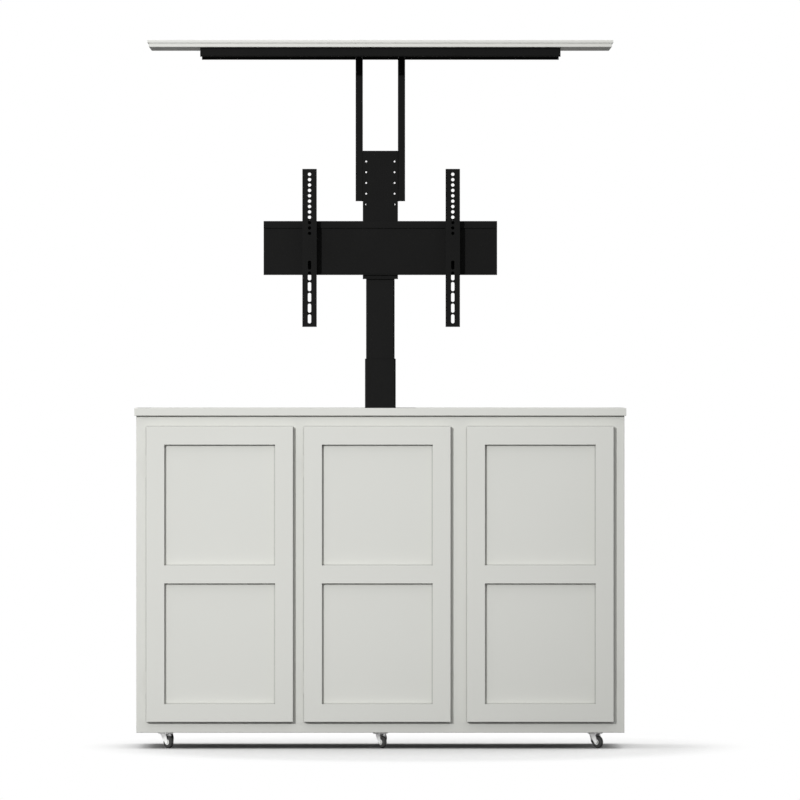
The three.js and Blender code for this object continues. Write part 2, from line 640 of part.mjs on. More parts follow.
function upright(name, side) {
  const inner = BRACKET_HALF;
  const front = BRACKET_WEB_BACK + SEAT;
  const bottom = BRACKET_TOP - UPRIGHT_LAP;
  const top = BAR_TOP;
  const angle = outline([
    [inner, front],
    [inner + UPRIGHT_WIDTH, front],
    [inner + UPRIGHT_WIDTH, front + UPRIGHT_SHEET],
    [inner + UPRIGHT_SHEET, front + UPRIGHT_SHEET],
    [inner + UPRIGHT_SHEET, front + UPRIGHT_DEPTH],
    [inner, front + UPRIGHT_DEPTH],
  ]);
  let body = solid(pullUp(angle, top - bottom).translate(0, 0, bottom));
  const reach = BAR_OFFSET - BAR_SIZE / 2 - SEAT;
  const y0 = SLAB_Y - reach;
  const y1 = SLAB_Y + reach;
  const x1 = inner + UPRIGHT_WIDTH;
  const low = BAR_TOP - BAR_SIZE;
  body = body.add(solid(box(inner, x1, y0, y1, BAR_TOP - UPRIGHT_SHEET, BAR_TOP)));
  body = body.add(solid(box(inner, inner + UPRIGHT_SHEET, y0, y1, low, BAR_TOP)));
  body = body.add(solid(box(x1 - UPRIGHT_SHEET, x1, y0, y1, low, BAR_TOP)));
  const geometry = geometryOf(body);
  add(name, side > 0 ? geometry : mirrorX(geometry), blackSteel);
}

function lidBar(name, side) {
  const y = SLAB_Y + side * BAR_OFFSET;
  const shape = rectangle(BAR_SIZE, BAR_SIZE, y, BAR_Z, BAR_CORNER);
  const hole = BAR_SIZE - 2 * BAR_WALL;
  shape.holes.push(rectangle(hole, hole, y, BAR_Z));
  add(name, pullRight(shape, BAR_LENGTH, 0, 3).translate(-BAR_LENGTH / 2, 0, 0), blackSteel);
}

// Lid: the lower layer fits the opening, the upper one laps the slab
function lid() {
  const lower = pullUp(rectangle(LOWER_WIDTH, LOWER_DEPTH, 0, SLAB_Y), LID_LOWER + LID_UPPER / 2, EASE);
  const width = LOWER_WIDTH + 2 * LID_LIP;
  const depth = LOWER_DEPTH + 2 * LID_LIP;
  const upper = pullUp(rectangle(width, depth, 0, SLAB_Y), LID_UPPER, EASE);
  const body = solid(lower.translate(0, 0, LID_UNDERSIDE)).add(solid(upper.translate(0, 0, LIP_UNDERSIDE)));
  add('lid', geometryOf(body), paint);
}

// Casters: plate, swivelling fork and wheel

// A wheel with its axis along X and a flat of its tread resting at z = 0
function wheel() {
  const radius = WHEEL_DIAMETER / 2 / Math.cos(Math.PI / WHEEL_SIDES);
  const half = WHEEL_WIDTH / 2;
  const bore = AXLE_DIAMETER / 2 + AXLE_PLAY;
  const hub = WHEEL_HUB.diameter / 2;
  const hubFace = half + WHEEL_HUB.proud;
  const shoulder = half - WHEEL_HUB.dish;
  const halfProfile = [
    [bore, hubFace],
    [bore + FORK_SHEET, hubFace],
    [hub / 2, shoulder],
    [hub, shoulder],
    [hub + WHEEL_HUB.dish, half],
    [radius - WHEEL_TREAD_ROUND, half],
    [radius - WHEEL_TREAD_ROUND / 4, half - WHEEL_TREAD_ROUND / 2],
    [radius, half - WHEEL_TREAD_ROUND],
  ];
  const mirrored = halfProfile.map(([r, x]) => [r, -x]);
  const profile = [...mirrored, ...[...halfProfile].reverse()];
  const points = profile.map(([r, x]) => new THREE.Vector2(r, x));
  points.push(points[0].clone());
  const geometry = new THREE.LatheGeometry(points, WHEEL_SIDES);
  geometry.rotateY(Math.PI / WHEEL_SIDES).rotateZ(Math.PI / 2);
  return geometryOf(solid(geometry)).translate(0, 0, WHEEL_DIAMETER / 2);
}

// A fork under its swivel axis at x = y = 0, trailing towards -Y
function fork() {
  const inner = WHEEL_WIDTH / 2 + WHEEL_HUB.proud + FORK_PLAY;
  const outer = inner + FORK_SHEET;
  const length = FORK_TOP.front + FORK_TOP.back;
  const middle = (FORK_TOP.back - FORK_TOP.front) / 2;
  const crown = rectangle(2 * outer, length, 0, middle, FORK_TOP.corner);
  let body = solid(pullUp(crown, FORK_SHEET).translate(0, 0, CROWN_BOTTOM));
  const axleZ = WHEEL_DIAMETER / 2;
  const leg = new THREE.Shape();
  leg.moveTo(FORK_TOP.back - FORK_TOP.corner, CROWN_TOP);
  leg.lineTo(FORK_TOP.corner - FORK_TOP.front, CROWN_TOP);
  leg.lineTo(-CASTER_TRAIL - FORK_FOOT_RADIUS, axleZ);
  leg.absarc(-CASTER_TRAIL, axleZ, FORK_FOOT_RADIUS, Math.PI, 1.75 * Math.PI);
  leg.closePath();
  for (const x of [inner, -outer]) {
    body = body.add(solid(pullRight(leg, FORK_SHEET).translate(x, 0, 0)));
  }
  const axle = roundBar(AXLE_DIAMETER, 2 * outer + FORK_SHEET, 'x', 12);
  body = body.add(solid(axle.translate(0, -CASTER_TRAIL, axleZ)));
  const bore = roundBar(KINGPIN.diameter + 2 * KINGPIN.play, FORK_SHEET + OVERRUN, 'z');
  body = body.subtract(solid(bore.translate(0, 0, CROWN_BOTTOM)));
  return geometryOf(body);
}

// The fixed plate, with the riveted pin that the fork swivels on
function casterPlate() {
  const outer = rectangle(CASTER_PLATE.width, CASTER_PLATE.depth, 0, 0, CASTER_PLATE.corner);
  const plate = pullUp(outer, CASTER_PLATE.thickness).translate(0, 0, CASTER_PLATE_BOTTOM);
  const headTop = CROWN_BOTTOM - SEAT;
  const pinTop = CASTER_PLATE_BOTTOM + CASTER_PLATE.thickness / 2;
  const pin = roundBar(KINGPIN.diameter, pinTop - headTop + SEAT, 'z');
  const head = roundBar(KINGPIN.head, KINGPIN.headThickness, 'z');
  return geometryOf(solid(plate)
    .add(solid(pin.translate(0, 0, (pinTop + headTop - SEAT) / 2)))
    .add(solid(head.translate(0, 0, headTop - KINGPIN.headThickness / 2))));
}

function caster(name, x, y, heading) {
  const turn = THREE.MathUtils.degToRad(heading);
  add(`caster_${name}_plate`, casterPlate().translate(x, y, 0), zinc);
  add(`caster_${name}_fork`, fork().rotateZ(turn).translate(x, y, 0), zinc);
  const rolled = wheel().translate(0, -CASTER_TRAIL, 0).rotateZ(turn);
  add(`caster_${name}_wheel`, rolled.translate(x, y, 0), rubber);
}

function casters() {
  const rows = { front: FRAME_FACE + CASTER_INSET, back: BODY_BACK - CASTER_INSET };
  const columns = { left: -CASTER_X, middle: 0, right: CASTER_X };
  for (const [row, y] of Object.entries(rows)) {
    Object.entries(columns).forEach(([column, x], i) => {
      caster(`${row}_${column}`, x, y, CASTER_HEADINGS[row][i]);
    });
  }
}

carcass();
door('left', LEFT_DOOR_X, 1);
door('middle', MIDDLE_DOOR_X, 1);
door('right', RIGHT_DOOR_X, -1);
liftColumn();
liftMotor();
liftStay();
headBracket();
tvPlate();
add('tv_arm_left', tvArm().translate(ARM_SHIFT - ARM_SPACING / 2, 0, 0), blackSteel);
add('tv_arm_right', tvArm().translate(ARM_SHIFT + ARM_SPACING / 2, 0, 0), blackSteel);
upright('lid_upright_left', -1);
upright('lid_upright_right', 1);
lidBar('lid_bar_front', -1);
lidBar('lid_bar_back', 1);
lid();
casters();

export default group;
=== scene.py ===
# %% [markdown]
# # A television lift cabinet
#
# A pale painted cabinet stands on six small casters. A black telescopic column rises out
# of its top. The column carries a television plate with two slotted arms, and above them
# the cabinet's own lid, which comes down and closes the top when the lift is lowered.
#
# The solids come ready from a CAD program, each at its place. This lesson dresses them:
# it rounds their edges, adds the small pieces that the CAD leaves out, gives every piece
# a finish made of shader nodes, and sets up a camera, lamps and a floor.
#
# All lengths are in metres. X runs to the viewer's right, Y away from the viewer, Z up.

import json
import math

import bmesh
import bpy
from mathutils import Matrix, Vector

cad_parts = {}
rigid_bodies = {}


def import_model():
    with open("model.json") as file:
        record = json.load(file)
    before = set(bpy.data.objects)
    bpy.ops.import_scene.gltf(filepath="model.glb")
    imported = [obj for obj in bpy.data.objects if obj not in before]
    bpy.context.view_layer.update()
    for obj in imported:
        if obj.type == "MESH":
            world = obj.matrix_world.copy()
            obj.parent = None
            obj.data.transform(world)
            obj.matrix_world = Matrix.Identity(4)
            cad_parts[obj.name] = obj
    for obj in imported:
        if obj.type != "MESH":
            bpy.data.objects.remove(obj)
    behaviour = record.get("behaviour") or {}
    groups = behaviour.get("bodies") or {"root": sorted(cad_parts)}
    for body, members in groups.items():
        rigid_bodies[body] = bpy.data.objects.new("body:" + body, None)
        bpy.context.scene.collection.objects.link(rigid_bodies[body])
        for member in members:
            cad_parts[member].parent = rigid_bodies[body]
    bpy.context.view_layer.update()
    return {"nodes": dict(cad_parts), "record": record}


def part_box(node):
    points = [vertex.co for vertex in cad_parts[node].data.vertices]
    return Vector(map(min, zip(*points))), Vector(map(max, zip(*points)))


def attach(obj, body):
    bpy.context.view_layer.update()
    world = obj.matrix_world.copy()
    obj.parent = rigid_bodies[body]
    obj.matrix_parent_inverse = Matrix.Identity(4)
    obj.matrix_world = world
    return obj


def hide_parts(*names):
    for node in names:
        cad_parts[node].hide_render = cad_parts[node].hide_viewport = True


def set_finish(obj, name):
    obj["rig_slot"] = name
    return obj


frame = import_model()
nodes = frame["nodes"]
body_of_node = {
    node: body for body, names in frame["record"]["behaviour"]["bodies"].items() for node in names
}

# %% [markdown]
# ## The camera
#
# The cabinet was photographed from far away, so that its upright edges stay parallel and
# its depth almost disappears. A long lens from 33.6 m does the same. The eye is 1.07 m
# above the floor: the slab is seen from just above and the lid from below. The lens could
# be shifted to place the object in the picture. Here it looks a little past the object's
# middle instead, which at this distance bends nothing.

# %% Camera
EYE_DISTANCE = 33.6
EYE_HEIGHT = 1.066
PICTURE_CENTRE_X = 0.0544
PICTURE_CENTRE_Z = 0.9663
FOCAL_LENGTH_MM = 545.8
SENSOR_MM = 36

slab_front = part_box("top_slab")[0].y
eye = Vector((0, slab_front - EYE_DISTANCE, EYE_HEIGHT))
aim = Vector((PICTURE_CENTRE_X, slab_front, PICTURE_CENTRE_Z))
camera = bpy.data.objects.new("camera", bpy.data.cameras.new("camera"))
bpy.context.scene.collection.objects.link(camera)
camera.data.lens = FOCAL_LENGTH_MM
camera.data.sensor_width = SENSOR_MM
camera.location = eye
camera.rotation_euler = (aim - eye).to_track_quat("-Z", "Y").to_euler()
bpy.context.scene.camera = camera
print("the picture is", round(SENSOR_MM / FOCAL_LENGTH_MM * EYE_DISTANCE, 3), "m wide at the slab")

# %% [markdown]
# ## Shader sums as plain Python
#
# A finish is a small calculation on every point of a surface. Written with Python's own
# operators it can be read at a glance, so one class stands for a value on a wire and
# turns each sum into a Math node. Every other node comes from a single method.

# %% A value on a wire, and a finish under construction
class Wire:
    """One number on its way through a finish."""

    def __init__(self, finish, socket):
        self.finish = finish
        self.socket = socket

    def maths(self, operation, *others, reflected=False):
        values = (*others, self) if reflected else (self, *others)
        return self.finish.node("ShaderNodeMath", {"operation": operation}, dict(enumerate(values)))

    def __add__(self, other):
        return self.maths("ADD", other)

    def __sub__(self, other):
        return self.maths("SUBTRACT", other)

    def __mul__(self, other):
        return self.maths("MULTIPLY", other)

    def __rsub__(self, other):
        return self.maths("SUBTRACT", other, reflected=True)

    def __pow__(self, other):
        return self.maths("POWER", other)

    __radd__ = __add__

    def clipped(self):
        return self.maths("MINIMUM", 1.0).maths("MAXIMUM", 0.0)


class Finish:
    """A material while its nodes are being joined up."""

    def __init__(self, name):
        self.material = bpy.data.materials.new(name)
        self.material.use_nodes = True
        self.tree = self.material.node_tree
        self.shader = self.tree.nodes["Principled BSDF"]
        self.place = self.node("ShaderNodeTexCoord", output="Object")

    def node(self, kind, settings=None, inputs=None, output=0):
        """Adds one node: first its settings, then the values or wires of its sockets."""
        made = self.tree.nodes.new(kind)
        for name, value in (settings or {}).items():
            setattr(made, name, value)
        for name, value in (inputs or {}).items():
            self.plug(made.inputs[name], value)
        return Wire(self, made.outputs[output])

    def plug(self, socket, value):
        if isinstance(value, Wire):
            self.tree.links.new(value.socket, socket)
        else:
            socket.default_value = value

    def set(self, **sockets):
        for name, value in sockets.items():
            self.plug(self.shader.inputs[name.replace("_", " ")], value)


# %% [markdown]
# ## Building blocks of the finishes
#
# Four things make a surface believable close up: tone that drifts a little from place
# to place, a fine relief that breaks up the reflections, edges that differ from the
# flats, because hands, rags and spray coats treat them differently and, on the black
# coats, by a painted shade, and a painted shade in inner corners, where less light
# reaches. Each is a function here, so every finish below is a few lines long. The noise
# reads Object coordinates, which are the real position in metres, so one grain size fits
# all pieces.

# %% Noise, edges, painted corner shade, relief and tint
NOISE_ROUGHNESS = 0.55
EDGE_SAMPLES = 4
CORNER_SHADE_SAMPLES = 6


def cloud(finish, size, stretch=(1, 1, 1), detail=3.0):
    """Soft noise from 0 to 1 whose blobs are about size metres across."""
    spread = finish.node(
        "ShaderNodeMapping", inputs={"Vector": finish.place, "Scale": tuple(s / size for s in stretch)}
    )
    return finish.node(
        "ShaderNodeTexNoise",
        inputs={"Vector": spread, "Scale": 1.0, "Detail": detail, "Roughness": NOISE_ROUGHNESS},
    )


def edge_mask(finish, reach, strength):
    """1 along the edges of a piece and 0 on its flats."""
    rounded = finish.node("ShaderNodeBevel", {"samples": EDGE_SAMPLES}, {"Radius": reach})
    true = finish.node("ShaderNodeNewGeometry", output="True Normal")
    facing = finish.node(
        "ShaderNodeVectorMath", {"operation": "DOT_PRODUCT"}, {0: rounded, 1: true}, output="Value"
    )
    return ((1.0 - facing) * strength).clipped()


def corner_shade_mask(finish, reach, strength):
    """Towards 1 in inner corners, where another surface is nearer than reach: the mask of a painted
    shade.
    """
    opened = finish.node(
        "ShaderNodeAmbientOcclusion", {"samples": CORNER_SHADE_SAMPLES}, {"Distance": reach}, output="AO"
    )
    return ((1.0 - opened) * strength).clipped()


def relief(finish, height, depth):
    """Bumps the surface by a height wire, depth metres from its 0 to its 1."""
    finish.set(Normal=finish.node("ShaderNodeBump", inputs={"Distance": depth, "Height": height}))


def blend_tint(finish, share, first, second):
    """A colour between two tints or colour wires, by a wire from 0 to 1."""
    start, end = (tint if isinstance(tint, Wire) else (*tint, 1) for tint in (first, second))
    return finish.node("ShaderNodeMix", {"data_type": "RGBA"}, {0: share, 6: start, 7: end}, output=2)


# %% [markdown]
# ## Satin paint on board
#
# The cabinet is sprayed in a pale warm grey. Real spray paint has a very fine orange
# peel, drifts in tone by a per cent or two over a panel, and lies a little thinner and
# smoother on the edges. Within 5 mm of an inner corner the colour is darkened, a painted
# shade, which draws the fine lines round the doors and the panels. The lid's paint is a
# trace lighter, a painted light for the stronger light on the lid, and has no painted
# corner shade, which would cover all of its narrow fronts.

# %% Paint
PAINT = (0.700, 0.704, 0.668)
PAINT_SHADE = (0.680, 0.685, 0.648)
PAINT_EDGE = (0.745, 0.747, 0.715)
# Painted light: the lid's paint is a trace lighter, for the stronger light that falls on the lid.
LID_PAINT_LIT = (0.735, 0.738, 0.704)
LID_PAINT_LIT_SHADE = (0.715, 0.718, 0.684)
# Painted shade: the colour that the paint is darkened towards in inner corners.
PAINTED_CORNER_SHADE = (0.190, 0.190, 0.180)
CORNER_SHADE_REACH = 0.005
CORNER_SHADE_STRENGTH = 1.1
NO_CORNER_SHADE = 0.0
PEEL_SIZE = 0.0011
PEEL_DEPTH = 0.00003
DRIFT_SIZE = 0.35


def make_paint(name, corner_shade, tints):
    finish = Finish(name)
    edge = edge_mask(finish, reach=0.0012, strength=2.5)
    drift = cloud(finish, DRIFT_SIZE)
    peel = cloud(finish, PEEL_SIZE, detail=1.0)
    tone = blend_tint(finish, drift, *tints)
    tone = blend_tint(finish, edge * 0.5, tone, PAINT_EDGE)
    # Painted shade in inner corners, from an Ambient Occlusion node.
    tone = blend_tint(finish, corner_shade_mask(finish, CORNER_SHADE_REACH, corner_shade), tone, PAINTED_CORNER_SHADE)
    finish.set(
        Base_Color=tone,
        Roughness=0.50 + drift * 0.08 - edge * 0.06 + peel * 0.04,
        Specular_IOR_Level=0.30,
    )
    relief(finish, peel, PEEL_DEPTH)
    return finish.material


paint = make_paint("satin_paint", CORNER_SHADE_STRENGTH, (PAINT, PAINT_SHADE))
lid_paint_lit = make_paint("lid_lit_satin_paint", NO_CORNER_SHADE, (LID_PAINT_LIT, LID_PAINT_LIT_SHADE))
print("paint tints", PAINT, PAINT_SHADE, "and on the lid", LID_PAINT_LIT, LID_PAINT_LIT_SHADE)

# %% [markdown]
# ## Black coats
#
# The bracket, plate, arms, bars and uprights are powder coated: a satin black with a
# grain that can be felt. The column's tubes carry a smoother coat, drawn out along the
# tube. The motor and the control box have the coarse grain of moulded plastic. One recipe
# makes all three, and all carry a painted shade along their edges, a trace darker, so
# that none shines out.

# %% Powder coat, tube coat and moulded plastic
BLACK_COAT = (0.0046, 0.0046, 0.0044)
BLACK_COAT_LOW = (0.0034, 0.0034, 0.0032)
# Painted shade: the colour that the black coats are darkened towards along their edges.
BLACK_EDGE_SHADE = (0.0020, 0.0020, 0.0019)


def make_black(name, grain, stretch, depth, roughness):
    finish = Finish(name)
    edge = edge_mask(finish, reach=0.0008, strength=2.0)
    drift = cloud(finish, size=0.12)
    texture = cloud(finish, grain, stretch, detail=2.0)
    tone = blend_tint(finish, drift, BLACK_COAT, BLACK_COAT_LOW)
    finish.set(
        # Painted shade along the edges.
        Base_Color=blend_tint(finish, edge * 0.6, tone, BLACK_EDGE_SHADE),
        Roughness=roughness + drift * 0.08 + texture * 0.06 - edge * 0.05,
        Specular_IOR_Level=0.10,
    )
    relief(finish, texture, depth)
    return finish.material


EVEN = (1, 1, 1)
DRAWN = (1, 1, 0.02)
powder_coat = make_black("black_powder_coat", grain=0.0009, stretch=EVEN, depth=0.00006, roughness=0.50)
tube_coat = make_black("black_tube_coat", grain=0.0012, stretch=DRAWN, depth=0.00002, roughness=0.42)
grained_plastic = make_black(
    "black_grained_plastic", grain=0.0014, stretch=EVEN, depth=0.00010, roughness=0.62
)
print("black coats", powder_coat.name, tube_coat.name, grained_plastic.name)

# %% [markdown]
# ## Plated steel and rubber
#
# Zinc plating on the casters is a milky, bright coat with cloudy patches, which scatters
# more light than it mirrors. Nickel on the hinges is warmer, more even and a true mirror
# metal. The caster wheels are black rubber, dusty and grey where they roll.

# %% Zinc, nickel and rubber
def make_plating(name, bright, dull, patch, roughness, metallic):
    finish = Finish(name)
    edge = edge_mask(finish, reach=0.0005, strength=2.0)
    patches = cloud(finish, patch, detail=4.0)
    brushed = cloud(finish, size=0.0006, stretch=(1, 1, 0.15), detail=2.0)
    finish.set(
        Base_Color=blend_tint(finish, patches, bright, dull),
        Roughness=roughness + patches * 0.15 + brushed * 0.08 - edge * 0.08,
        Metallic=metallic - patches * 0.05,
    )
    relief(finish, brushed, depth=0.00002)
    return finish.material


RUBBER = (0.058, 0.058, 0.058)
RUBBER_DUST = (0.125, 0.123, 0.118)


def make_rubber():
    finish = Finish("wheel_rubber")
    dust = cloud(finish, size=0.012, detail=4.0) ** 2.0
    grit = cloud(finish, size=0.0008, detail=2.0)
    finish.set(
        Base_Color=blend_tint(finish, dust, RUBBER, RUBBER_DUST),
        Roughness=0.62 + dust * 0.25,
        Specular_IOR_Level=0.30,
    )
    relief(finish, grit, depth=0.00008)
    return finish.material


ZINC = {"bright": (0.93, 0.93, 0.92), "dull": (0.80, 0.80, 0.79), "patch": 0.006}
NICKEL = {"bright": (0.60, 0.58, 0.54), "dull": (0.48, 0.46, 0.43), "patch": 0.020}
zinc = make_plating("zinc_plate", **ZINC, roughness=0.34, metallic=0.25)
nickel = make_plating("nickel_plate", **NICKEL, roughness=0.24, metallic=0.92)
rubber = make_rubber()
print("metals and rubber", zinc.name, nickel.name, rubber.name)

# %% [markdown]
# ## From a shape to a piece
#
# A bmesh is Blender's sketch pad for meshes. When a shape is done, this helper turns it
# into an object, makes it ride on the body that carries it, and names the finish. Flat
# faces are kept flat by weighting the normals by face area, so that only the small
# rounded edges shade softly.

# %% Finishing a piece
SHARP = math.radians(50)


def finish_piece(shape, name, body, slot, material, stands_for=()):
    bmesh.ops.recalc_face_normals(shape, faces=shape.faces)
    for face in shape.faces:
        face.smooth = True
    for edge in shape.edges:
        edge.smooth = edge.is_manifold and edge.calc_face_angle(0.0) < SHARP
    mesh = bpy.data.meshes.new(name)
    shape.to_mesh(mesh)
    shape.free()
    mesh.materials.append(material)
    piece = bpy.data.objects.new(name, mesh)
    bpy.context.scene.collection.objects.link(piece)
    weighted = piece.modifiers.new("flat faces stay flat", "WEIGHTED_NORMAL")
    weighted.keep_sharp = True
    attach(piece, body)
    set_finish(piece, slot)
    if stands_for:
        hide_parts(*stands_for)


# %% [markdown]
# ## Rounded edges
#
# No real edge is perfectly sharp: a radius of half a millimetre catches a thin line of
# light and tells the eye how big a thing is. A Bevel modifier would do it too, but the
# solids arrive as loose triangles, so a copy is merged first, its flat areas are dissolved
# back into whole faces, and then the edges where two faces meet at an angle are bevelled.

# %% Copies of the solids with rounded edges
MERGE_DISTANCE = 0.00001
FLAT = math.radians(1)
EDGE_ANGLE = math.radians(28)
EDGE_SEGMENTS = 2


def eased_copy(node, radius):
    shape = bmesh.new()
    shape.from_mesh(nodes[node].data)
    bmesh.ops.remove_doubles(shape, verts=shape.verts, dist=MERGE_DISTANCE)
    bmesh.ops.dissolve_limit(shape, angle_limit=FLAT, verts=shape.verts, edges=shape.edges)
    edges = [e for e in shape.edges if e.is_manifold and e.calc_face_angle(0.0) > EDGE_ANGLE]
    bmesh.ops.bevel(
        shape, geom=edges, offset=radius, offset_type="OFFSET", affect="EDGES",
        segments=EDGE_SEGMENTS, profile=0.5, material=-1, clamp_overlap=True,
    )
    return shape


def dress(node, radius, slot, material):
    shape = eased_copy(node, radius)
    faces = len(shape.faces)
    finish_piece(shape, f"{node}_eased", body_of_node[node], slot, material, (node,))
    return faces


# %% [markdown]
# ## The cabinet
#
# Boards, face frame, slab and doors keep the shapes of their solids and get a soft edge
# of less than half a millimetre, as sanded and painted board has. The doors are built as
# joiners build them, a frame with two openings and a thin panel let into its back, so
# the recesses need no carving here.

# %% Painted boards and doors
BOARD_EDGE = 0.0004
SIDES = ("left", "middle", "right")
boards = ["side_left", "side_right", "face_frame", "bottom_board", "back_board", "top_slab"]
boards += [f"door_{side}_{part}" for side in SIDES for part in ("frame", "panel")]
for board in boards:
    print(board, dress(board, BOARD_EDGE, "paint", paint), "faces")

# %% [markdown]
# ## The lift
#
# Sheet steel is cut and folded before it is coated, and the coat rounds its edges to half
# a millimetre. The column's tubes come out of the mill with the same soft edge. Moulded
# plastic is rounder, because a mould can't be filled into a sharp corner.

# %% Steel, tubes and plastic
SHEET_EDGE = 0.0005
CASE_EDGE = 0.0008
steel = ["lift_base_plate", "lift_stay", "head_bracket", "head_cap", "tv_plate"]
steel += ["tv_arm_left", "tv_arm_right", "lid_upright_left", "lid_upright_right"]
steel += ["lid_bar_front", "lid_bar_back"]
tubes = ["lift_tube_fixed", "lift_stage_1", "lift_stage_2", "lift_stage_3"]
for piece in steel:
    print(piece, dress(piece, SHEET_EDGE, "black_steel", powder_coat), "faces")
for tube in tubes:
    print(tube, dress(tube, SHEET_EDGE, "column_black", tube_coat), "faces")
for case in ["lift_motor", "lift_control_box"]:
    print(case, dress(case, CASE_EDGE, "black_plastic", grained_plastic), "faces")

# %% [markdown]
# The lid is two boards, one on the other. The lower one drops into the slab's opening and
# the upper one rests on the slab. They could be eased like the slab, but their fronts are
# narrow bands in the picture, which a crisper edge keeps clear.

# %% Lid
LID_EDGE = 0.0002
print("lid", dress("lid", LID_EDGE, "paint", lid_paint_lit), "faces")

# %% [markdown]
# The casters' plates and forks and the hinges' leaves are stamped from sheet, and the
# wheels are moulded. They are many but alike, so loops dress them, by the names that the
# solids carry.

# %% Casters and hinges
CASTER_EDGE = 0.0004
LEAF_EDGE = 0.0003
HINGE_LEVELS = ("lower", "upper")
wheel_places = [f"{row}_{side}" for row in ("front", "back") for side in SIDES]
for place in wheel_places:
    dress(f"caster_{place}_plate", CASTER_EDGE, "caster_zinc", zinc)
    dress(f"caster_{place}_fork", CASTER_EDGE, "caster_zinc", zinc)
    dress(f"caster_{place}_wheel", CASTER_EDGE, "wheel_rubber", rubber)
for side in SIDES:
    for level in HINGE_LEVELS:
        for leaf in ("door_leaf", "frame_leaf"):
            dress(f"hinge_{side}_{level}_{leaf}", LEAF_EDGE, "hinge_nickel", nickel)
print(len(wheel_places), "casters dressed, and two hinges on each door")

# %% [markdown]
# ## Small hardware
#
# The CAD leaves out whatever is smaller than a knuckle: screws, rivets, bumpers, glide
# collars. All of them come from a handful of shapes. A screw head is a slightly tapered
# disc whose top is inset twice, the second time downwards, which sinks the socket. A ring
# is a flat face with its middle taken out and then pulled up. A block is a cube with all
# of its edges eased.

# %% Screw heads, rings and blocks
HEAD_SIDES = 20
HEAD_TAPER_SHARE = 0.84
SOCKET_SHARE = 0.48
SOCKET_DEPTH_SHARE = 0.60
SOCKET_WALL = 0.00005
X_AXIS, Y_AXIS, Z_AXIS = Vector((1, 0, 0)), Vector((0, 1, 0)), Vector((0, 0, 1))


def standing_at(origin, along):
    """The place of a shape that is drawn upright and has to point along."""
    return Matrix.Translation(origin) @ along.to_track_quat("Z", "Y").to_matrix().to_4x4()


def add_head(shape, origin, along, radius, height, socket=True):
    made = bmesh.ops.create_cone(
        shape, cap_ends=True, segments=HEAD_SIDES, radius1=radius, radius2=radius * HEAD_TAPER_SHARE,
        depth=height, matrix=standing_at(origin + along * height / 2, along),
    )
    if socket:
        faces = {face for vert in made["verts"] for face in vert.link_faces}
        top = max(faces, key=lambda face: face.calc_center_median().dot(along))
        rim = radius * (HEAD_TAPER_SHARE - SOCKET_SHARE)
        bmesh.ops.inset_individual(shape, faces=[top], thickness=rim)
        bmesh.ops.inset_individual(
            shape, faces=[top], thickness=SOCKET_WALL, depth=-height * SOCKET_DEPTH_SHARE
        )


def hollow_and_raise(shape, face, wall, up):
    """Turns a flat face into a ring as wide as wall, and pulls it up into a solid."""
    rim = bmesh.ops.inset_individual(shape, faces=[face], thickness=wall)["faces"]
    bmesh.ops.delete(shape, geom=[face], context="FACES_ONLY")
    grown = bmesh.ops.extrude_face_region(shape, geom=rim)["geom"]
    bmesh.ops.translate(shape, verts=[v for v in grown if isinstance(v, bmesh.types.BMVert)], vec=up)


def add_block(shape, low, high, ease):
    made = bmesh.ops.create_cube(
        shape, size=1, matrix=Matrix.Translation((low + high) / 2) @ Matrix.Diagonal((*(high - low), 1))
    )
    edges = list({edge for vert in made["verts"] for edge in vert.link_edges})
    bmesh.ops.bevel(
        shape, geom=edges, offset=ease, offset_type="OFFSET", affect="EDGES",
        segments=EDGE_SEGMENTS, profile=0.5, material=-1, clamp_overlap=True,
    )


def heads(name, body, slot, material, places, radius, height, socket=True):
    """One piece with a head at each of the places, given as origin and direction."""
    shape = bmesh.new()
    for origin, along in places:
        add_head(shape, origin, along, radius, height, socket)
    print(name, len(places), "heads on", body)
    finish_piece(shape, name, body, slot, material)


# %% [markdown]
# Each hinge leaf on a door has three screws, and the return of its other leaf has two in
# the edge of the face frame. Two rubber bumpers in the corners of a door's free edge soften
# its closing. Where a screw goes follows from its leaf's box, so it moves with the leaf.

# %% Hinge screws and door bumpers
LEAF_SCREW = {"radius": 0.0028, "height": 0.0005}
RETURN_SCREW = {"radius": 0.0024, "height": 0.0005}
BUMPER = {"radius": 0.004, "height": 0.0016}
LEAF_SCREW_INSET = 0.006
LEAF_SCREW_ROWS = (-0.020, 0.0, 0.020)
RETURN_SCREW_ROWS = (-0.006, 0.006)
RETURN_SCREW_INSET = 0.005
BUMPER_INSET = 0.008

